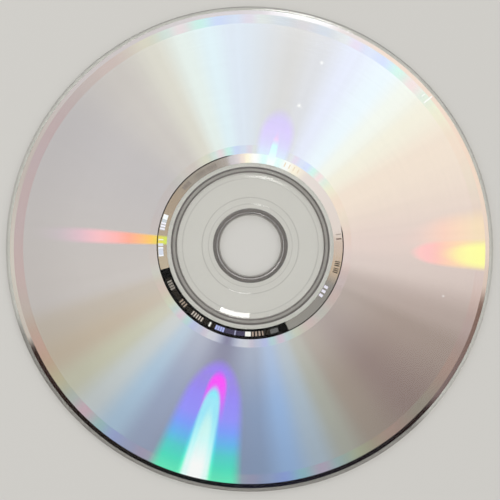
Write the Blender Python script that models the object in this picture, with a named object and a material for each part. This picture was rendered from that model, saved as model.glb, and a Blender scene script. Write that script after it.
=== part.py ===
# Compact disc: a clear moulded substrate, the metal layer behind it and the coat that seals the metal.
# It lies flat, label side down and read side up, with its axis on +Z and the coat's face at height 0.
# Sizes are in millimetres and become metres where the meshes are made.

from math import atan2, cos, degrees, hypot, sin, tau

import bmesh
import bpy

MM = 0.001
FACETS = 120

# Whole disc
DISC_RADIUS = 60.0
DISC_THICKNESS = 1.2
HOLE_RADIUS = 7.5

# Metal layer and the coat over it
METAL_INNER_RADIUS = 20.6
METAL_OUTER_RADIUS = 59.2
METAL_THICKNESS = 0.02
COAT_THICKNESS = 0.03
COAT_INNER_LAP = 0.5
COAT_OUTER_LAP = 0.4

# Colour fields of the metal, by radius, and the black field of the mirror band, by angle from +X
MIRROR_BAND_WIDTH = 2.4
PLAIN_EDGE_WIDTH = 1.0
BLACK_FIELD_START = 195.0
BLACK_FIELD_SWEEP = 99.0

# Hub, read side
HOLE_ROUND = 0.25
LAND_INNER_RADIUS = 10.3
LAND_WIDTH = 1.7
LAND_DEPTH = 0.04
LAND_SLOPE = 0.06
RING_INNER_RADIUS = 16.7
RING_SLOPE = 1.2
RING_HEIGHT = 0.2
RING_BACK = 0.2
RING_ROUND = 0.08

# Hub, label side
HOLE_CHAMFER = 0.12
HOLE_GROOVE_INNER_RADIUS = 8.15
HOLE_GROOVE_WIDTH = 1.05
HOLE_GROOVE_DEPTH = 0.3
HOLDER_GROOVE_INNER_RADIUS = 18.0
HOLDER_GROOVE_WIDTH = 1.6
HOLDER_GROOVE_DEPTH = 0.35
GROOVE_STEPS = 6

# Rim
RIM_ROUND = 0.2
RIM_CHAMFER = 0.12

# Heights that follow from them
METAL_BACK = COAT_THICKNESS
LABEL_FACE = METAL_BACK + METAL_THICKNESS
READ_FACE = DISC_THICKNESS


def clear_scene():
    for obj in list(bpy.data.objects):
        bpy.data.objects.remove(obj)


def principled(name, colour, roughness, metallic, transmission=0.0):
    material = bpy.data.materials.new(name)
    material.use_nodes = True
    shader = material.node_tree.nodes["Principled BSDF"]
    shader.inputs["Base Color"].default_value = (*colour, 1)
    shader.inputs["Roughness"].default_value = roughness
    shader.inputs["Metallic"].default_value = metallic
    shader.inputs["Transmission Weight"].default_value = transmission
    return material


def section(corners):
    # A closed outline in the XZ plane. A corner is (radius, height) or (radius, height, rounding, steps).
    mesh = bmesh.new()
    points = [mesh.verts.new((corner[0] * MM, 0, corner[1] * MM)) for corner in corners]
    mesh.faces.new(points)
    for point, corner in zip(points, corners):
        if len(corner) == 4:
            rounding, steps = corner[2:]
            bmesh.ops.bevel(
                mesh, geom=[point], affect="VERTICES", offset=rounding * MM, segments=steps, profile=0.5
            )
    bmesh.ops.delete(mesh, geom=mesh.faces[:], context="FACES_ONLY")
    return mesh


def turned(name, corners, material):
    # The section turned once round the disc's axis.
    mesh = section(corners)
    bmesh.ops.spin(
        mesh,
        geom=mesh.verts[:] + mesh.edges[:],
        cent=(0, 0, 0),
        axis=(0, 0, 1),
        angle=tau,
        steps=FACETS,
        use_merge=True,
    )
    bmesh.ops.recalc_face_normals(mesh, faces=mesh.faces)
    data = bpy.data.meshes.new(name)
    mesh.to_mesh(data)
    mesh.free()
    data.shade_smooth()
    data.set_sharp_from_angle(angle=0.35)
    data.materials.append(material)
    obj = bpy.data.objects.new(name, data)
    bpy.context.collection.objects.link(obj)
    return obj


def hole_wall():
    # Up the hole from its chamfer on the label side to its round edge on the read side.
    return [
        (HOLE_RADIUS + HOLE_CHAMFER, LABEL_FACE),
        (HOLE_RADIUS, LABEL_FACE + HOLE_CHAMFER),
        (HOLE_RADIUS, READ_FACE, HOLE_ROUND, 3),
    ]


def sleeve_land():
    # The shallow ring that the mould's ejector sleeve leaves.
    outer_radius = LAND_INNER_RADIUS + LAND_WIDTH
    floor = READ_FACE - LAND_DEPTH
    return [
        (LAND_INNER_RADIUS, READ_FACE),
        (LAND_INNER_RADIUS + LAND_SLOPE, floor),
        (outer_radius - LAND_SLOPE, floor),
        (outer_radius, READ_FACE),
    ]


def stacking_ring():
    # The raised ring that keeps stacked discs apart: a long slope up, a round crest and a short back.
    crest_radius = RING_INNER_RADIUS + RING_SLOPE
    return [
        (RING_INNER_RADIUS, READ_FACE),
        (crest_radius, READ_FACE + RING_HEIGHT, RING_ROUND, 2),
        (crest_radius + RING_BACK, READ_FACE),
    ]


def rim():
    return [
        (DISC_RADIUS, READ_FACE, RIM_ROUND, 3),
        (DISC_RADIUS, LABEL_FACE + RIM_CHAMFER),
        (DISC_RADIUS - RIM_CHAMFER, LABEL_FACE),
    ]


def round_groove(inner_radius, width, depth):
    # A groove in the label face whose section is part of a circle, from its outer edge inwards.
    half = width / 2
    circle = (half**2 + depth**2) / (2 * depth)
    half_sweep = atan2(half, circle - depth)
    middle = inner_radius + half
    centre_height = LABEL_FACE + depth - circle
    points = []
    for step in range(GROOVE_STEPS + 1):
        turn = half_sweep * (1 - 2 * step / GROOVE_STEPS)
        height = LABEL_FACE if step in (0, GROOVE_STEPS) else centre_height + circle * cos(turn)
        points.append((middle + circle * sin(turn), height))
    return points


def make_substrate():
    corners = hole_wall() + sleeve_land() + stacking_ring() + rim()
    corners += round_groove(HOLDER_GROOVE_INNER_RADIUS, HOLDER_GROOVE_WIDTH, HOLDER_GROOVE_DEPTH)
    corners += round_groove(HOLE_GROOVE_INNER_RADIUS, HOLE_GROOVE_WIDTH, HOLE_GROOVE_DEPTH)
    material = principled("clear_polycarbonate", (0.86, 0.87, 0.84), 0.03, 0.0, 1.0)
    return turned("substrate", corners, material)


def paint_metal(layer):
    # Three fields on the face under the substrate: the recorded area, the plain metal and the black field.
    layer.data.materials.append(principled("recorded_area", (0.74, 0.70, 0.76), 0.25, 1.0))
    layer.data.materials.append(principled("black_field", (0.02, 0.02, 0.02), 0.4, 0.0))
    band_radius = (METAL_INNER_RADIUS + MIRROR_BAND_WIDTH) * MM
    edge_radius = (METAL_OUTER_RADIUS - PLAIN_EDGE_WIDTH) * MM
    for face in layer.data.polygons:
        radius = hypot(face.center.x, face.center.y)
        angle = degrees(atan2(face.center.y, face.center.x)) % 360
        if face.normal.z < 0.5:
            continue
        if band_radius < radius < edge_radius:
            face.material_index = 1
        elif radius < band_radius and BLACK_FIELD_START < angle < BLACK_FIELD_START + BLACK_FIELD_SWEEP:
            face.material_index = 2


def make_reflective_layer():
    corners = [
        (METAL_INNER_RADIUS, METAL_BACK),
        (METAL_INNER_RADIUS, LABEL_FACE),
        (METAL_INNER_RADIUS + MIRROR_BAND_WIDTH, LABEL_FACE),
        (METAL_OUTER_RADIUS - PLAIN_EDGE_WIDTH, LABEL_FACE),
        (METAL_OUTER_RADIUS, LABEL_FACE),
        (METAL_OUTER_RADIUS, METAL_BACK),
    ]
    layer = turned("reflective_layer", corners, principled("aluminium_film", (0.82, 0.82, 0.83), 0.12, 1.0))
    paint_metal(layer)
    return layer


def make_lacquer_coat():
    # A shallow tray: its floor lies under the metal, and its two laps close on the substrate beside it.
    inner_radius = METAL_INNER_RADIUS - COAT_INNER_LAP
    outer_radius = METAL_OUTER_RADIUS + COAT_OUTER_LAP
    corners = [
        (inner_radius, 0),
        (inner_radius, LABEL_FACE),
        (METAL_INNER_RADIUS, LABEL_FACE),
        (METAL_INNER_RADIUS, METAL_BACK),
        (METAL_OUTER_RADIUS, METAL_BACK),
        (METAL_OUTER_RADIUS, LABEL_FACE),
        (outer_radius, LABEL_FACE),
        (outer_radius, 0),
    ]
    return turned("lacquer_coat", corners, principled("clear_lacquer", (0.76, 0.77, 0.78), 0.12, 0.0))


def main():
    clear_scene()
    make_substrate()
    make_reflective_layer()
    make_lacquer_coat()


main()
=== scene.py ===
from math import cos, pi, radians, sin, tau

import bmesh
import bpy
from mathutils import Matrix, Vector


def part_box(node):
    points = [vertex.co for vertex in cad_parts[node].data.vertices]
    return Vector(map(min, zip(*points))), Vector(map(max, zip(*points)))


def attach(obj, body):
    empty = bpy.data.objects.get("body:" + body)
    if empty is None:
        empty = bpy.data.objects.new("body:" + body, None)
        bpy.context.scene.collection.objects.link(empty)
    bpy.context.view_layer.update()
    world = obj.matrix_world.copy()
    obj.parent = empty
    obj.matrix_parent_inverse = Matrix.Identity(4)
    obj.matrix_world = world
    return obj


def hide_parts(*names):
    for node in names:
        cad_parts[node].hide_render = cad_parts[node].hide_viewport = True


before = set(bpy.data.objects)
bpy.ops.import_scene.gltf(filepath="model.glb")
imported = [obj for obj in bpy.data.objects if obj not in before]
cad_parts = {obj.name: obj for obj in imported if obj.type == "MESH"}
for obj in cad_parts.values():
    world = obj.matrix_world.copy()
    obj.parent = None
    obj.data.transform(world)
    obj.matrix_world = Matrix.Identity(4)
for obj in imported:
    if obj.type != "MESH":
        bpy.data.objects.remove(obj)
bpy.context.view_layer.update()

mm = 0.001


def tone(red, green, blue):
    # a colour as it looks on screen, 0 to 255
    return tuple(((part / 255 + 0.055) / 1.055) ** 2.4 for part in (red, green, blue))


# Shader maths

class Value:
    # wraps one output socket, so that shader maths reads as Python
    def __init__(self, graph, socket):
        self.graph = graph
        self.socket = socket

    def __add__(self, other):
        return self.graph.maths("ADD", self, other)

    def __radd__(self, other):
        return self.graph.maths("ADD", other, self)

    def __sub__(self, other):
        return self.graph.maths("SUBTRACT", self, other)

    def __rsub__(self, other):
        return self.graph.maths("SUBTRACT", other, self)

    def __mul__(self, other):
        return self.graph.maths("MULTIPLY", self, other)

    def __rmul__(self, other):
        return self.graph.maths("MULTIPLY", other, self)

    def __truediv__(self, other):
        return self.graph.maths("DIVIDE", self, other)

    def __rtruediv__(self, other):
        return self.graph.maths("DIVIDE", other, self)

    def __gt__(self, other):
        return self.graph.maths("GREATER_THAN", self, other)

    def __lt__(self, other):
        return self.graph.maths("LESS_THAN", self, other)

    def __abs__(self):
        return self.graph.maths("ABSOLUTE", self)


class Graph:
    # the node tree of one material or of the world
    def __init__(self, owner):
        owner.use_nodes = True
        self.tree = owner.node_tree
        self.tree.nodes.clear()

    def add(self, kind, settings=None, inputs=None, out=0):
        node = self.tree.nodes.new("ShaderNode" + kind)
        for name, setting in (settings or {}).items():
            if name == "stops":
                self.fillRamp(node.color_ramp, setting)
            elif name == "curve":
                node.color_ramp.interpolation = setting
            else:
                setattr(node, name, setting)
        given = inputs.items() if isinstance(inputs, dict) else enumerate(inputs or [])
        for name, value in given:
            self.feed(node.inputs[name], value)
        return Value(self, node.outputs[out]) if node.outputs else None

    def feed(self, socket, value):
        if isinstance(value, Value):
            self.tree.links.new(value.socket, socket)
        elif socket.type == "RGBA" and len(value) == 3:
            socket.default_value = (*value, 1)
        else:
            socket.default_value = value

    def fillRamp(self, ramp, stops):
        while len(ramp.elements) > 1:
            ramp.elements.remove(ramp.elements[-1])
        ramp.elements[0].position = stops[0][0]
        ramp.elements[0].color = (*stops[0][1], 1)
        for place, colour in stops[1:]:
            ramp.elements.new(place).color = (*colour, 1)

    def maths(self, operation, *values):
        return self.add("Math", {"operation": operation}, values)

    def mix(self, factor, first, second, blend="MIX"):
        settings = {"data_type": "RGBA", "blend_type": blend}
        return self.add("Mix", settings, {0: factor, 6: first, 7: second}, 2)

    def grey(self, level):
        return self.add("CombineColor", {}, [level, level, level])

    def shade(self, colour, level):
        return self.mix(1.0, colour, self.grey(level), "MULTIPLY")

    def rise(self, value, low, high):
        # 0 at low, 1 at high, smooth between
        return self.add("MapRange", {"interpolation_type": "SMOOTHSTEP"}, [value, low, high, 0.0, 1.0])

    def past(self, value, edge, soft):
        # 0 below the edge and 1 above it, blended over soft on both sides
        return self.rise(value, edge - soft, edge + soft)

    def band(self, value, low, high, soft):
        # 1 between low and high, 0 outside, with soft edges
        return self.past(value, low, soft) * (1 - self.past(value, high, soft))

    def ramp(self, value, low, high, stops, curve="LINEAR"):
        # a stop is its place between low and high, then red, green and blue as on screen
        placed = [((at - low) / (high - low), tone(*shown)) for at, *shown in stops]
        return self.add("ValToRGB", {"curve": curve, "stops": placed}, [(value - low) / (high - low)])

    def noise(self, position, scale, detail, rough=0.5):
        inputs = {"Vector": position, "Scale": scale, "Detail": detail, "Roughness": rough}
        return self.add("TexNoise", {}, inputs)

    def chance(self, value, seed):
        # one steady random number for each whole value
        return self.add("TexWhiteNoise", {"noise_dimensions": "1D"}, {"W": self.maths("FLOOR", value) + seed})

    def output(self, shader, kind="OutputMaterial"):
        self.add(kind, {}, {"Surface": shader})


# noise drawn out in rings round the axis or in rays away from it
grain = {"detail": 3.0, "rough": 0.6, "wander": 2.0, "drift": 0.02}


class Spot:
    # where a point of a round piece lies: radius in mm, angle in degrees from +X
    def __init__(self, g):
        self.g = g
        self.position = g.add("TexCoord", out="Object")
        x = g.add("SeparateXYZ", {}, [self.position], "X")
        y = g.add("SeparateXYZ", {}, [self.position], "Y")
        self.height = g.add("SeparateXYZ", {}, [self.position], "Z") / mm
        self.radius = g.maths("SQRT", x * x + y * y) / mm
        self.turns = g.maths("FRACT", g.maths("ARCTAN2", y, x) / tau + 1)
        self.degrees = self.turns * 360
        self.right = x / mm / self.radius
        self.up = y / mm / self.radius

    def away(self, angle):
        # signed angle from a direction, in degrees
        return (self.g.maths("FRACT", self.turns + (1.5 - angle / 360)) - 0.5) * 360

    def fromAxis(self, angle):
        # angle from the nearer end of a line through the centre, 0 to 90
        return abs(self.g.maths("FRACT", self.turns * 2 + (1.5 - angle / 180)) - 0.5) * 180

    def around(self, stops):
        # colours by angle, closed by the first one at 360 degrees
        return self.g.ramp(self.degrees, 0, 360, stops + [(360, *stops[0][1:])], "EASE")

    def streaks(self, *place):
        position = self.g.add("CombineXYZ", {}, place)
        return self.g.noise(position, 1.0, grain["detail"], grain["rough"]) - 0.5

    def rings(self, scale):
        return self.streaks(self.radius * scale, self.right * grain["wander"], self.up * grain["wander"])

    def rays(self, scale):
        return self.streaks(self.right * scale, self.up * scale, self.radius * grain["drift"])


def newMaterial(name):
    material = bpy.data.materials.new(name)
    return material, Graph(material)


def waves(g, spot, shape):
    # a faint unevenness that only the reflections show
    rings = spot.rings(shape["rings"]) * shape["share"]
    height = g.noise(spot.position, shape["scale"], shape["detail"]) + rings
    return g.add("Bump", {}, {"Strength": shape["strength"], "Distance": shape["depth"], "Height": height})


def lampsPass(g, shader, tint):
    # light from the lamps reaches what lies under the clear plastic
    shadowRay = g.add("LightPath", out="Is Shadow Ray")
    return g.add("MixShader", {}, [shadowRay, shader, g.add("BsdfTransparent", {}, {"Color": tint})])


# Pieces turned round the disc's axis. Lengths are in mm and angles in degrees

turning = {"roundSteps": 12, "longEdge": 0.6, "holdingRing": 0.02, "sharpAngle": 8.5}

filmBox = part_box("reflective_layer")
filmBack = filmBox[0].z / mm
labelFace = filmBox[1].z / mm
filmOuter = filmBox[1].x / mm


def turnedPiece(name, corners, segments, material, node):
    # corners go round the section: radius, height and, if rounded, by how much
    made = bmesh.new()
    points = [made.verts.new((corner[0] * mm, 0, corner[1] * mm)) for corner in corners]
    made.faces.new(points)
    for point, corner in zip(points, corners):
        if len(corner) == 3:
            bmesh.ops.bevel(
                made, geom=[point], offset=corner[2] * mm, segments=turning["roundSteps"],
                affect="VERTICES", profile=0.5, material=-1,
            )
    for edge in [edge for edge in made.edges if edge.calc_length() > turning["longEdge"] * mm]:
        # a holding ring near each end keeps a wide face flat beside a rounded one
        for corner in edge.verts[:]:
            part = turning["holdingRing"] * mm / edge.calc_length()
            edge, added = bmesh.utils.edge_split(edge, corner, part)
            edge = [other for other in added.link_edges if corner not in other.verts][0]
    bmesh.ops.delete(made, geom=made.faces[:], context="FACES_ONLY")
    bmesh.ops.spin(
        made, geom=made.verts[:] + made.edges[:], cent=(0, 0, 0), axis=(0, 0, 1), angle=tau, steps=segments,
        use_merge=True,
    )
    bmesh.ops.recalc_face_normals(made, faces=made.faces)
    mesh = bpy.data.meshes.new(name)
    made.to_mesh(mesh)
    made.free()
    mesh.shade_smooth()
    mesh.set_sharp_from_angle(angle=radians(turning["sharpAngle"]))
    mesh.materials.append(material)
    piece = bpy.data.objects.new(name, mesh)
    bpy.context.collection.objects.link(piece)
    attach(piece, "root")
    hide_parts(node)


# Clear disc

clearDisc = {
    "segments": 360,
    "holeRadius": 7.5,
    "discRadius": 59.9995,
    "thickness": 1.2,
    "holeRound": 0.25,
    "holeChamfer": 0.12,
    "land": {"inner": 10.2, "width": 1.85, "depth": 0.04, "slope": 0.2, "round": 0.09},
    "ring": {"inner": 16.7, "slope": 1.2, "height": 0.198, "back": 0.2, "round": 0.08},
    "holeGroove": {"inner": 8.15, "width": 1.05, "depth": 0.3},
    "holderGroove": {"inner": 18.0, "width": 1.6, "depth": 0.35},
    "grooveSteps": 24,
    "roll": [(58.6, 0.0), (58.9, 0.007), (59.2, 0.022), (59.5, 0.045)],  # radius, and how far it falls there
    "rimDrop": 0.095,
    "rimRound": 0.2,
    "rimChamfer": 0.12,
    "tint": (0.97, 0.972, 0.955),
    # colour of the painted shade in the clear plastic
    "paintedShadeTint": (0.16, 0.13, 0.12),
    "paintedShadeRings": [  # painted shade in the clear plastic at the grooves, the land's edges and the rim's rounding: inner and outer radius, softness and strength
        (7.75, 9.2, 0.1, 0.8),
        (10.2, 10.4, 0.06, 0.16),
        (11.8, 12.05, 0.06, 0.22),
        (16.6, 16.9, 0.08, 0.16),
        (18.0, 18.5, 0.1, 0.85),
        (18.5, 19.1, 0.1, 0.35),
        (19.1, 19.6, 0.1, 0.85),
        (59.6, 60.5, 0.2, 0.25),
    ],
    # painted shade: the clear rim is darker as far as its reach on both sides of the angle
    "paintedShadeRim": {"angle": 257.0, "reach": 58.0, "soft": 4.0, "inner": 59.2, "strength": 0.5},
    "refraction": 1.585,
    "refractionOverMetal": 1.22,  # a weaker mirror image of the sky, so that black stays black
    "metalEdgeSoft": 0.05,
    "roughness": 0.005,
    # the hub's label side, up to this height, is duller
    "underside": {"top": 0.5, "inner": 9.3, "outer": 17.9, "soft": 0.05, "roughness": 0.12},
    "waves": {
        "scale": 60.0, "detail": 1.0, "rings": 0.6, "share": 0.3, "strength": 0.012, "depth": 0.1 * mm,
    },
}


def grooveCorners(groove):
    # an arc of a circle cut into the label face, from its outer lip to its inner one
    steps = clearDisc["grooveSteps"]
    half = groove["width"] / 2
    circle = (half**2 + groove["depth"] ** 2) / (2 * groove["depth"])
    middle = groove["inner"] + half
    corners = []
    for step in range(steps + 1):
        across = half * cos(pi * step / steps)
        rise = (circle**2 - across**2) ** 0.5 - (circle - groove["depth"])
        corners.append((middle + across, labelFace + max(rise, 0)))
    return corners


def clearDiscCorners():
    disc = clearDisc
    land, ring = disc["land"], disc["ring"]
    top = disc["thickness"]
    landOuter = land["inner"] + land["width"]
    crest = ring["inner"] + ring["slope"]
    return [
        (disc["holeRadius"] + disc["holeChamfer"], labelFace),
        (disc["holeRadius"], labelFace + disc["holeChamfer"]),
        (disc["holeRadius"], top, disc["holeRound"]),
        (land["inner"], top, land["round"]),
        (land["inner"] + land["slope"], top - land["depth"], land["round"]),
        (landOuter - land["slope"], top - land["depth"], land["round"]),
        (landOuter, top, land["round"]),
        (ring["inner"], top),
        (crest, top + ring["height"], ring["round"]),
        (crest + ring["back"], top),
        *((radius, top - drop) for radius, drop in disc["roll"]),
        (disc["discRadius"], top - disc["rimDrop"], disc["rimRound"]),
        (disc["discRadius"], labelFace + disc["rimChamfer"]),
        (disc["discRadius"] - disc["rimChamfer"], labelFace),
        *grooveCorners(disc["holderGroove"]),
        *grooveCorners(disc["holeGroove"]),
    ]


def clearPlastic():
    disc = clearDisc
    material, g = newMaterial("clearPolycarbonate")
    spot = Spot(g)
    colour = disc["tint"]
    # painted shade: darker rings in the clear plastic's colour
    for low, high, soft, strength in disc["paintedShadeRings"]:
        colour = g.mix(g.band(spot.radius, low, high, soft) * strength, colour, disc["paintedShadeTint"])
    # painted shade on the lower side of the clear rim
    rim = disc["paintedShadeRim"]
    near = 1 - g.past(abs(spot.away(rim["angle"])), rim["reach"], rim["soft"])
    colour = g.mix(near * (spot.radius > rim["inner"]) * rim["strength"], colour, disc["paintedShadeTint"])
    under = disc["underside"]
    dull = (spot.height < under["top"]) * g.band(spot.radius, under["inner"], under["outer"], under["soft"])
    inputs = {
        "Base Color": colour,
        "Roughness": disc["roughness"] + dull * (under["roughness"] - disc["roughness"]),
        "IOR": disc["refraction"],
        "Transmission Weight": 1.0,
        "Normal": waves(g, spot, disc["waves"]),
    }
    bare = g.add("BsdfPrincipled", {}, inputs)
    inputs["IOR"] = disc["refractionOverMetal"]
    overMetal = g.add("BsdfPrincipled", {}, inputs)
    backed = g.band(spot.radius, metalFilm["inner"], filmOuter, disc["metalEdgeSoft"])
    g.output(lampsPass(g, g.add("MixShader", {}, [backed, bare, overMetal]), disc["tint"]))
    return material


def makeClearDisc():
    corners = clearDiscCorners()
    segments = clearDisc["segments"]
    turnedPiece("clearDiscBody", corners, segments, clearPlastic(), "substrate")
    print("clear disc made")


# Metal film. Its colours are written as on screen, 0 to 255

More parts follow.
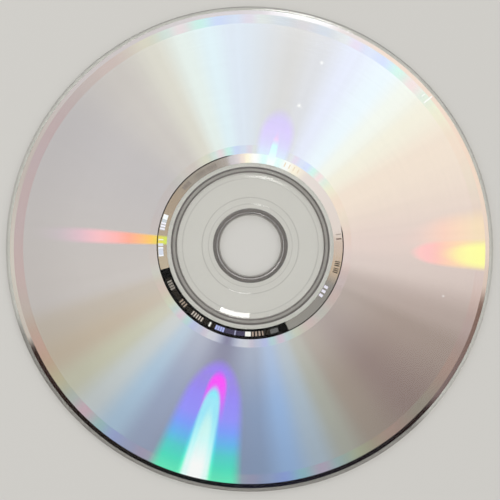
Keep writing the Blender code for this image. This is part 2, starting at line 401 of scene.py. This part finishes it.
metalFilm = {
    "segments": 360,
    "inner": 20.6,
    "bite": 0.003,  # the film's face stands this far into the plastic, so that the two never share a plane
    "bandOuter": 23.0,
    "leadInOuter": 25.1,
    "leadOutInner": 55.9,
    "trackOuter": 58.2,
    "bandSoft": 0.04,
    "trackSoft": 0.05,
    "roughness": 0.055,
    "bareRoughness": 0.03,
    "unevenRoughness": {"rings": 6.0, "strength": 0.02},
    "anisotropy": {"strength": 0.4, "turn": 0.25},
    "backTone": (214, 214, 216),
    "fans": [  # broad painted reflection, diffraction colours and the room's light, by angle
        (0, 227, 209, 202),
        (28, 240, 225, 210),
        (38, 241, 237, 222),
        (45, 241, 245, 238),
        (52, 234, 245, 252),
        (62, 228, 233, 249),
        (70, 219, 221, 227),
        (77, 215, 215, 216),
        (95, 218, 228, 240),
        (101, 221, 237, 244),
        (108, 225, 235, 232),
        (116, 217, 215, 205),
        (126, 203, 198, 194),
        (145, 193, 189, 190),
        (195, 200, 194, 191),
        (202, 194, 184, 172),
        (210, 194, 181, 163),
        (217.5, 197, 196, 177),
        (225, 197, 204, 206),
        (232.5, 172, 196, 218),
        (240, 156, 168, 194),
        (256, 144, 145, 168),
        (272, 140, 158, 189),
        (280, 151, 180, 220),
        (287.5, 168, 184, 199),
        (295, 169, 171, 162),
        (303, 160, 148, 138),
        (315, 150, 133, 128),
        (333, 168, 152, 144),
        (340, 185, 169, 162),
        (352, 219, 203, 197),
    ],
    "lowerSide": (-0.2, 0.9),  # from a little above the centre to nearly the bottom, in parts of the radius
    "leftSide": (0.2, 0.9),  # and from a little left of it to nearly the left end
    "lampAxis": 256.4,  # line through the centre on which the brightest fringes lie
    # painted light: the lower side is paler near the hub, beside the lamp axis
    "paintedLightInner": {"tone": (235, 231, 228), "strength": 0.28, "besideAxis": (0.0, 14.0), "fade": (22.0, 42.0)},
    # painted shade: the lower and left sides grow darker towards the rim
    "paintedShadeOuter": {"lower": 0.12, "left": 0.08, "rise": (38.0, 56.0)},
    "fringes": [  # painted reflection: diffraction tints of the first and the last tracks, by angle from the lamp axis
        (0, 246, 242, 250),
        (5, 234, 244, 255),
        (11, 255, 254, 240),
        (14, 255, 230, 236),
        (17.5, 234, 236, 250),
        (22, 214, 218, 255),
        (26.5, 206, 250, 230),
        (31.5, 255, 216, 230),
        (36, 214, 246, 246),
        (42, 238, 250, 212),
        (51, 255, 228, 212),
        (60, 234, 248, 218),
        (72, 255, 224, 204),
        (82, 246, 228, 230),
        (90, 255, 222, 210),
    ],
    "fringeSoft": 0.08,
    "fringeStrength": {"lower": 0.9, "nearAxis": 0.55, "lost": 0.4, "lostOver": (30.0, 46.0)},
    # painted light: the first and the last tracks are paler on the lower side
    "fringePale": {
        "tone": (235, 235, 245),
        "inner": 0.5, "innerRise": (0.0, 8.0),
        "innerLost": 0.2, "lostOver": (9.0, 18.0),
        "outer": 0.1,
    },
    # painted tint of the last tracks on the left side
    "fringeLeft": {"tone": (255, 226, 230), "strength": 0.5},
    # the flames are painted highlight streaks of diffraction colour
    # each flame widens from its tip to its base, given by radius. Its angle and half width are in degrees,
    # and its stops go by radius
    "flames": {
        "lowerHalo": {
            "angle": 256.2, "tip": 29.8, "base": 35.2, "halfWidth": 10.5, "soft": 0.32,
            "stops": [
                (29.5, 164, 136, 252), (31.5, 161, 138, 246), (34, 159, 143, 234), (36, 157, 141, 241),
                (38, 156, 143, 250), (43, 152, 151, 255), (46, 130, 162, 255), (49, 106, 184, 241),
                (52, 89, 208, 208), (55, 83, 221, 193), (58, 104, 232, 189),
            ],
        },
        "lowerEdge": {
            "angle": 256.8, "tip": 32.0, "base": 34.8, "halfWidth": 3.9, "soft": 0.45,
            "stops": [
                (31, 184, 108, 254), (32, 220, 98, 255), (33.5, 254, 88, 255), (37, 248, 94, 255),
                (44, 218, 112, 254),
            ],
            "fade": (34.0, 46.0),
        },
        "lowerFringe": {
            "angle": 256.2, "tip": 40.0, "base": 43.5, "halfWidth": 3.9, "soft": 0.4,
            "stops": [
                (40, 142, 192, 254), (46, 124, 194, 255), (49, 105, 215, 251), (52, 91, 240, 235),
                (55, 101, 254, 215), (58, 137, 255, 208),
            ],
        },
        "lowerCore": {
            "angle": 256.2, "tip": 36.0, "base": 39.5, "halfWidth": 3.25, "soft": 0.4,
            "stops": [
                (35, 142, 218, 255), (37, 140, 238, 255), (39, 162, 236, 255), (43, 162, 236, 255),
                (46, 172, 243, 255), (49, 186, 252, 255), (52, 211, 255, 255), (55, 229, 255, 253),
            ],
        },
        "lowerHeart": {
            "angle": 256.3, "tip": 42.0, "base": 46.0, "halfWidth": 1.8, "soft": 0.8, "strength": 0.9,
            "stops": [
                (40, 182, 248, 255), (43, 202, 249, 247), (46, 210, 252, 248), (49, 216, 255, 254),
                (52, 238, 255, 255), (55, 255, 255, 255),
            ],
        },
        "upperHalo": {
            "angle": 76.7, "tip": 34.0, "base": 28.4, "halfWidth": 9.3, "soft": 0.34,
            "stops": [
                (23, 220, 236, 253), (24.5, 220, 228, 253), (25.8, 220, 219, 252), (28, 220, 212, 252),
                (30, 219, 208, 252), (34, 213, 205, 246),
            ],
        },
        "upperCore": {
            "angle": 76.3, "tip": 28.2, "base": 22.7, "halfWidth": 2.6, "soft": 0.3,
            "stops": [
                (21.5, 246, 255, 255), (24, 221, 253, 255), (25.6, 212, 250, 255),
                (26.6, 224, 226, 254), (27.4, 244, 212, 248), (28.2, 234, 206, 248),
            ],
            "inBand": True,
        },
        "leftStreak": {
            "angle": 176.5, "tip": 55.0, "base": 40.0, "halfWidth": 2.7, "soft": 0.6,
            "stops": [
                (21, 212, 226, 104), (23, 240, 216, 104), (24.5, 252, 205, 110), (27, 255, 192, 138),
                (30, 255, 178, 156), (33, 255, 186, 183), (37, 249, 194, 199), (42, 228, 192, 204),
                (48, 204, 188, 199),
            ],
            "fade": (38.0, 56.0), "inBand": True,
        },
        "rightGlow": {
            "angle": 2.5, "tip": 41.0, "base": 47.0, "halfWidth": 5.6, "soft": 0.95, "strength": 0.85,
            "stops": [
                (41, 239, 211, 203), (44, 246, 213, 201), (48, 254, 213, 195), (52, 254, 221, 194),
                (56, 249, 226, 192),
            ],
        },
        "rightStreak": {
            "angle": 357.8, "tip": 40.4, "base": 44.4, "halfWidth": 3.6, "soft": 0.4,
            "stops": [
                (40, 250, 206, 202), (42, 255, 202, 200), (44, 255, 199, 198), (46, 255, 201, 193),
                (48, 255, 208, 188), (50, 255, 215, 184), (53, 253, 224, 180), (56, 246, 230, 178),
            ],
        },
        "rightCore": {
            "angle": 357.7, "tip": 48.5, "base": 53.5, "halfWidth": 2.9, "soft": 0.6,
            "stops": [
                (47, 255, 218, 182), (50, 255, 236, 178), (52, 255, 247, 172), (54, 255, 254, 171),
                (58, 255, 255, 166),
            ],
        },
    },
    "trackGrain": {"rings": 2.2, "rays": 26.0, "strength": 0.05},
    "bandTones": [  # painted reflection of the room on the mirror band inside the tracks, by angle
        (0, 205, 186, 172),
        (12, 224, 212, 205),
        (50, 228, 219, 214),
        (60, 248, 240, 220),
        (66, 248, 250, 248),
        (72, 226, 252, 250),
        (76, 250, 254, 254),
        (81, 222, 252, 251),
        (87, 252, 253, 252),
        (92, 252, 246, 222),
        (95, 238, 224, 214),
        (98.5, 216, 208, 211),
        (102, 202, 197, 201),
        (107, 170, 162, 154),
        (114, 157, 149, 141),
        (130, 155, 147, 137),
        (148, 168, 152, 134),
        (194, 188, 174, 152),
        (296, 146, 143, 137),
        (332, 142, 138, 133),
        (344, 194, 174, 152),
    ],
    "rimTones": [  # painted reflection on the plain metal outside the tracks, by angle: a painted highlight near 77 degrees and painted shade on the lower side
        (0, 232, 212, 198),
        (20, 240, 217, 199),
        (54, 240, 222, 210),
        (66, 228, 222, 223),
        (72, 246, 245, 248),
        (77, 255, 255, 255),
        (82, 242, 241, 245),
        (88, 218, 214, 219),
        (94, 212, 207, 211),
        (130, 200, 193, 193),
        (160, 190, 181, 174),
        (185, 205, 198, 189),
        (202, 198, 189, 180),
        (206, 56, 39, 34),
        (230, 30, 23, 21),
        (257, 14, 18, 18),
        (272, 20, 20, 34),
        (300, 24, 19, 22),
        (316, 44, 31, 29),
        (322, 124, 106, 104),
        (345, 130, 104, 94),
        (351, 218, 198, 186),
    ],
    "bandLine": {
        "inside": 0.16, "outside": 0.1, "soft": 0.04, "tone": (18, 14, 13),
        "gapAngle": 57.0, "gapReach": 46.0, "gapSoft": 3.0,
    },
    "barsAndPaintedShade": {
        # painted shade: the mirror band's dark reflection on the lower side, under the bars
        "paintedDarkField": {"start": 195.2, "end": 294.4, "tone": (8, 7, 7)},
        "soft": 0.04,
        "rows": [  # a step makes thin bars of a block, fill is their part of it and share how many are there
            {
                "inner": 21.5, "outer": 22.7,
                "bars": [
                    {"start": 159.8, "end": 162.9, "tone": (248, 251, 253)},
                    {"start": 162.9, "end": 165.0, "tone": (204, 210, 216)},
                    {"start": 165.0, "end": 170.2, "tone": (196, 194, 198)},
                    {"start": 165.0, "end": 170.2, "tone": (242, 241, 250), "step": 1.8, "fill": 0.6},
                    {"start": 175.8, "end": 176.6, "tone": (240, 244, 222)},
                    {"start": 178.6, "end": 180.3, "tone": (222, 228, 238)},
                    {"start": 180.9, "end": 186.9, "tone": (214, 220, 234)},
                    {"start": 180.9, "end": 186.9, "tone": (240, 243, 250), "step": 5.0, "fill": 0.22},
                ],
            },
            {
                "inner": 20.75, "outer": 21.75,
                "bars": [
                    {"start": 323.9, "end": 333.3, "tone": (228, 225, 238), "step": 3.2, "fill": 0.6},
                ],
            },
            {
                "inner": 21.3, "outer": 22.55,
                "bars": [
                    {"start": 342.2, "end": 345.4, "tone": (48, 40, 30), "step": 1.3, "fill": 0.55},
                    {"start": 346.7, "end": 349.9, "tone": (48, 40, 30), "step": 1.3, "fill": 0.55},
                ],
            },
            {
                "inner": 21.3, "outer": 22.6,
                "bars": [
                    {"start": 4.1, "end": 4.9, "tone": (112, 92, 82)},
                    {"start": 7.0, "end": 7.8, "tone": (180, 168, 158)},
                ],
            },
            {
                "inner": 21.4, "outer": 22.5,
                "bars": [
                    {"start": 57.0, "end": 68.0, "tone": (238, 224, 200), "step": 3.2, "fill": 0.25},
                ],
            },
            {
                "inner": 21.2, "outer": 22.2,
                "bars": [
                    {"start": 113.2, "end": 120.0, "tone": (128, 119, 111), "step": 1.3, "fill": 0.5},
                    {"start": 121.6, "end": 128.4, "tone": (128, 119, 111), "step": 1.3, "fill": 0.5},
                    {"start": 133.4, "end": 139.6, "tone": (136, 126, 119), "step": 1.3, "fill": 0.75},
                ],
            },
            {
                "inner": 21.2, "outer": 22.35,
                "bars": [
                    {"start": 201.6, "end": 288.2, "tone": (42, 38, 33)},
                    {
                        "start": 201.8, "end": 209.6, "tone": (156, 150, 142),
                        "step": 1.7, "fill": 0.6, "share": 0.9,
                    },
                    {"start": 218.4, "end": 223.8, "tone": (166, 150, 136), "step": 1.9, "fill": 0.5},
                    {
                        "start": 229.2, "end": 238.2, "tone": (196, 186, 176),
                        "step": 1.8, "fill": 0.5, "share": 0.9,
                    },
                    {"start": 242.3, "end": 243.5, "tone": (240, 240, 236)},
                    {"start": 246.8, "end": 253.0, "tone": (176, 184, 236), "step": 1.6, "fill": 0.8},
                    {"start": 253.4, "end": 266.6, "tone": (74, 70, 94)},
                    {"start": 259.7, "end": 260.5, "tone": (176, 178, 206)},
                    {"start": 266.6, "end": 270.3, "tone": (244, 244, 238)},
                    {"start": 271.0, "end": 278.4, "tone": (176, 158, 146), "step": 2.2, "fill": 0.5},
                    {"start": 283.0, "end": 288.2, "tone": (104, 104, 104)},
                ],
            },
        ],
    },
    "wear": {
        "tone": (255, 255, 255),
        "spread": 1.5,
        "endSoft": 0.2,
        "specks": [  # angle, radius, half width and strength
            (68.8, 49.3, 0.4, 0.7),
            (70.9, 37.1, 0.5, 0.85),
            (69.8, 36.9, 0.3, 0.25),
            (345.4, 49.2, 0.3, 0.45),
        ],
        "scratches": [  # angle, radius of both ends, half width and strength
            (39.6, 56.2, 58.9, 0.24, 0.8),
            (41.2, 56.9, 57.9, 0.14, 0.7),
        ],
    },
}


def addFlame(g, spot, colour, flame):
    # a painted highlight streak, a tongue with a rounded tip, nearly at full width from its base on
    side = spot.away(flame["angle"]) / flame["halfWidth"]
    along = (spot.radius - flame["tip"]) / (flame["base"] - flame["tip"])
    inside = g.maths("TANH", along) - side * side
    mask = g.past(inside, 0, flame["soft"]) * flame.get("strength", 1.0)
    if "fade" in flame:
        mask = mask * (1 - g.rise(spot.radius, *flame["fade"]))
    stops = flame["stops"]
    return g.mix(mask, colour, g.ramp(spot.radius, stops[0][0], stops[-1][0], stops))


def addFringes(g, spot, colour, lower, left):
    # the first and the last tracks get painted diffraction tints, strongest on the lower side
    film = metalFilm
    strength, pale, tint = film["fringeStrength"], film["fringePale"], film["fringeLeft"]
    leading = 1 - g.past(spot.radius, film["leadInOuter"], film["fringeSoft"])
    trailing = g.past(spot.radius, film["leadOutInner"], film["fringeSoft"])
    fromAxis = spot.fromAxis(film["lampAxis"])
    upper = strength["nearAxis"] - strength["lost"] * g.rise(fromAxis, *strength["lostOver"])
    mask = (leading + trailing) * g.maths("MAXIMUM", strength["lower"] * lower, upper)
    colour = g.mix(mask, colour, g.ramp(fromAxis, 0, 90, film["fringes"], "EASE"), "MULTIPLY")
    gained = g.rise(fromAxis, *pale["innerRise"]) * pale["inner"]
    lost = g.rise(fromAxis, *pale["lostOver"]) * pale["innerLost"]
    mask = (leading * (gained - lost) + trailing * pale["outer"]) * lower
    colour = g.mix(mask, colour, tone(*pale["tone"]))
    return g.mix(trailing * left * tint["strength"], colour, tone(*tint["tone"]), "MULTIPLY")


def trackTone(g, spot):
    film = metalFilm
    inner, outer, trackGrain = film["paintedLightInner"], film["paintedShadeOuter"], film["trackGrain"]
    # painted reflection: diffraction colours and the room's light, by angle
    colour = spot.around(film["fans"])
    lower = g.rise(0 - spot.up, *film["lowerSide"])
    left = g.rise(0 - spot.right, *film["leftSide"])
    # painted light, paler near the hub on the lower side
    beside = lower * g.rise(spot.fromAxis(film["lampAxis"]), *inner["besideAxis"])
    mask = inner["strength"] * beside * (1 - g.rise(spot.radius, *inner["fade"]))
    colour = g.mix(mask, colour, tone(*inner["tone"]))
    # painted shade towards the rim on the lower and left sides
    loss = outer["lower"] * lower + outer["left"] * left * (1 - lower)
    colour = g.shade(colour, 1 - loss * g.rise(spot.radius, *outer["rise"]))
    colour = addFringes(g, spot, colour, lower, left)
    # painted highlight streaks
    for flame in film["flames"].values():
        colour = addFlame(g, spot, colour, flame)
    uneven = spot.rings(trackGrain["rings"]) * trackGrain["strength"]
    return g.shade(colour, 1 + uneven + spot.rays(trackGrain["rays"]) * trackGrain["strength"])


def addBars(g, spot, colour, row, bars, seed):
    # one block or, with a step, short radial bars that are each there or not by chance
    mask = (spot.degrees > bars["start"]) * (spot.degrees < bars["end"])
    mask = mask * g.band(spot.radius, row["inner"], row["outer"], metalFilm["barsAndPaintedShade"]["soft"])
    if "step" in bars:
        step = (spot.degrees - bars["start"]) / bars["step"]
        mask = mask * (g.maths("FRACT", step) < bars["fill"])
        if "share" in bars:
            mask = mask * (g.chance(step, seed) < bars["share"])
    return g.mix(mask, colour, tone(*bars["tone"]))


def mirrorBand(g, spot):
    # painted reflection on the mirror band
    colour = spot.around(metalFilm["bandTones"])
    for flame in metalFilm["flames"].values():
        if "inBand" in flame:
            colour = addFlame(g, spot, colour, flame)
    barsAndPaintedShade = metalFilm["barsAndPaintedShade"]
    # painted shade: the dark reflection on the lower side of the mirror band
    field = barsAndPaintedShade["paintedDarkField"]
    mask = (spot.degrees > field["start"]) * (spot.degrees < field["end"])
    colour = g.mix(mask, colour, tone(*field["tone"]))
    placed = [(row, bars) for row in barsAndPaintedShade["rows"] for bars in row["bars"]]
    for number, (row, bars) in enumerate(placed):
        colour = addBars(g, spot, colour, row, bars, number + 0.5)
    return colour


def bandLine(g, spot):
    # the thin dark line round the mirror band, with a gap at the upper right
    line = metalFilm["bandLine"]
    edge = metalFilm["bandOuter"]
    shown = g.past(abs(spot.away(line["gapAngle"])), line["gapReach"], line["gapSoft"])
    return g.band(spot.radius, edge - line["inside"], edge + line["outside"], line["soft"]) * shown


def worn(g, spot):
    # how much each place is whitened by dust or a scratch
    wear = metalFilm["wear"]
    total = 0.0
    for angle, radius, half, strength in wear["specks"]:
        across = spot.away(angle) * (radius * tau / 360)
        out = spot.radius - radius
        off = g.maths("SQRT", across * across + out * out)
        total = total + (1 - g.rise(off, 0.0, half * wear["spread"])) * strength
    for angle, start, end, half, strength in wear["scratches"]:
        across = abs(spot.away(angle)) * (end * tau / 360)
        along = g.band(spot.radius, start, end, wear["endSoft"])
        total = total + (1 - g.rise(across, 0.0, half * wear["spread"])) * along * strength
    return total


def metalLook():
    material, g = newMaterial("trackedAluminium")
    spot = Spot(g)
    film = metalFilm
    inside = 1 - g.past(spot.radius, film["bandOuter"], film["bandSoft"])
    outside = g.past(spot.radius, film["trackOuter"], film["trackSoft"])
    back = spot.height < 0.5 * (filmBack + labelFace)
    colour = g.mix(inside, trackTone(g, spot), mirrorBand(g, spot))
    # painted reflection, highlight and shade on the plain metal outside the tracks
    colour = g.mix(outside, colour, spot.around(film["rimTones"]))
    colour = g.mix(bandLine(g, spot), colour, tone(*film["bandLine"]["tone"]))
    colour = g.mix(worn(g, spot), colour, tone(*film["wear"]["tone"]))
    colour = g.mix(back, colour, tone(*film["backTone"]))
    bare = g.maths("MAXIMUM", g.maths("MAXIMUM", inside, outside), back)
    uneven = spot.rings(film["unevenRoughness"]["rings"]) * film["unevenRoughness"]["strength"]
    inputs = {
        "Base Color": colour,
        "Metallic": 1.0,
        "Roughness": film["roughness"] + (film["bareRoughness"] - film["roughness"]) * bare + uneven,
        "Anisotropic": film["anisotropy"]["strength"],
        "Anisotropic Rotation": film["anisotropy"]["turn"],
    }
    g.output(g.add("BsdfPrincipled", {}, inputs))
    return material


def makeMetalFilm():
    film = metalFilm
    top = labelFace + film["bite"]
    rings = [film["bandOuter"], film["leadInOuter"], film["leadOutInner"], film["trackOuter"]]
    corners = [
        (film["inner"], filmBack),
        (film["inner"], top),
        *((radius, top) for radius in rings),
        (filmOuter, top),
        (filmOuter, filmBack),
    ]
    turnedPiece("aluminiumFilm", corners, film["segments"], metalLook(), "reflective_layer")
    print("metal film made")


# Coat

coat = {
    "segments": 360,
    "innerLap": 0.5,
    "outerLap": 0.4,
    "gap": 0.002,  # below the clear disc
    "sideGap": 0.01,  # beside the metal film's edges
    "tint": (0.93, 0.935, 0.925),
    "refraction": 1.5,
    "roughness": 0.03,
    "waves": {
        "scale": 140.0, "detail": 2.0, "rings": 1.2, "share": 1.0, "strength": 0.06, "depth": 0.1 * mm,
    },
}


def coatLook():
    material, g = newMaterial("clearLacquer")
    inputs = {
        "Base Color": coat["tint"],
        "Roughness": coat["roughness"],
        "IOR": coat["refraction"],
        "Transmission Weight": 1.0,
        "Normal": waves(g, Spot(g), coat["waves"]),
    }
    g.output(lampsPass(g, g.add("BsdfPrincipled", {}, inputs), coat["tint"]))
    return material


def makeCoat():
    filmInner = metalFilm["inner"]
    lap = labelFace - coat["gap"]
    floor = filmBack + metalFilm["bite"]
    corners = [
        (filmInner - coat["innerLap"], 0),
        (filmInner - coat["innerLap"], lap),
        (filmInner - coat["sideGap"], lap),
        (filmInner - coat["sideGap"], floor),
        (filmOuter + coat["sideGap"], floor),
        (filmOuter + coat["sideGap"], lap),
        (filmOuter + coat["outerLap"], lap),
        (filmOuter + coat["outerLap"], 0),
    ]
    turnedPiece("lacquerCoat", corners, coat["segments"], coatLook(), "lacquer_coat")
    print("coat made")


# Floor, lamps, sky and camera. From here on lengths are in metres

studio = {
    "floor": {"size": 2.0, "drop": 0.02 * mm, "tone": (200, 198, 193), "roughness": 0.75},
    "sky": {
        "horizon": 0.6,
        "zenith": 0.99,
        "zenithFrom": 0.9,
        "tilt": 0.4,  # how much brighter the sky is towards +Y
        "tiltEnd": -0.35,  # and how far towards -Y it goes on falling
    },
    "lamps": {
        "keyLamp": {"azimuth": 77.0, "tilt": 22.4, "distance": 2.5, "size": 0.333, "power": 2.8},
        "softLamp": {"azimuth": 128.0, "tilt": 44.0, "distance": 1.0, "size": 0.42, "power": 1.3},
    },
}

view = {
    "distance": 0.34,
    "tilt": 5.0,
    "toward": 257.0,
    "aim": (-0.09 * mm, -1.1 * mm, 0.6 * mm),
    "widthSeen": 123.25 * mm,
    "sensor": 36.0,  # in mm, as the lens is
    "nearest": 0.01,
}


def direction(azimuth, tilt):
    flat = sin(radians(tilt))
    return Vector((flat * cos(radians(azimuth)), flat * sin(radians(azimuth)), cos(radians(tilt))))


def makeFloor():
    look = studio["floor"]
    made = bmesh.new()
    bmesh.ops.create_grid(made, x_segments=1, y_segments=1, size=look["size"])
    bmesh.ops.translate(made, verts=made.verts, vec=(0, 0, -look["drop"]))
    mesh = bpy.data.meshes.new("floor")
    made.to_mesh(mesh)
    made.free()
    floor = bpy.data.objects.new("floor", mesh)
    bpy.context.collection.objects.link(floor)
    material, g = newMaterial("paleFloor")
    inputs = {"Base Color": tone(*look["tone"]), "Roughness": look["roughness"]}
    g.output(g.add("BsdfPrincipled", {}, inputs))
    mesh.materials.append(material)


def makeSky():
    sky = studio["sky"]
    world = bpy.data.worlds.new("studio")
    bpy.context.scene.world = world
    g = Graph(world)
    heading = g.add("TexCoord", out="Generated")
    y = g.add("SeparateXYZ", {}, [heading], "Y")
    z = g.add("SeparateXYZ", {}, [heading], "Z")
    level = sky["horizon"] + (sky["zenith"] - sky["horizon"]) * g.rise(z, 0.0, sky["zenithFrom"])
    level = level + g.maths("MAXIMUM", y, sky["tiltEnd"]) * sky["tilt"]
    g.output(g.add("Background", {}, {"Color": g.grey(level), "Strength": 1.0}), "OutputWorld")


def makeLamp(name, azimuth, tilt, distance, size, power):
    data = bpy.data.lights.new(name, "AREA")
    data.shape = "DISK"
    data.size = size
    data.energy = power
    lamp = bpy.data.objects.new(name, data)
    lamp.location = direction(azimuth, tilt) * distance
    lamp.rotation_euler = (-lamp.location).to_track_quat("-Z", "Y").to_euler()
    bpy.context.collection.objects.link(lamp)


def makeCamera():
    data = bpy.data.cameras.new("camera")
    data.sensor_width = view["sensor"]
    data.lens = view["sensor"] * view["distance"] / view["widthSeen"]
    data.clip_start = view["nearest"]
    camera = bpy.data.objects.new("camera", data)
    back = direction(view["toward"], view["tilt"])
    right = Vector((0, 1, 0)).cross(back).normalized()
    axes = Matrix((right, back.cross(right), back)).transposed().to_4x4()
    camera.matrix_world = Matrix.Translation(Vector(view["aim"]) + back * view["distance"]) @ axes
    bpy.context.collection.objects.link(camera)
    bpy.context.scene.camera = camera
    bpy.context.scene.view_settings.view_transform = "Standard"
    print("camera made")


makeClearDisc()
makeMetalFilm()
makeCoat()
makeFloor()
makeSky()
for name, lamp in studio["lamps"].items():
    makeLamp(name, **lamp)
print("studio made")
makeCamera()
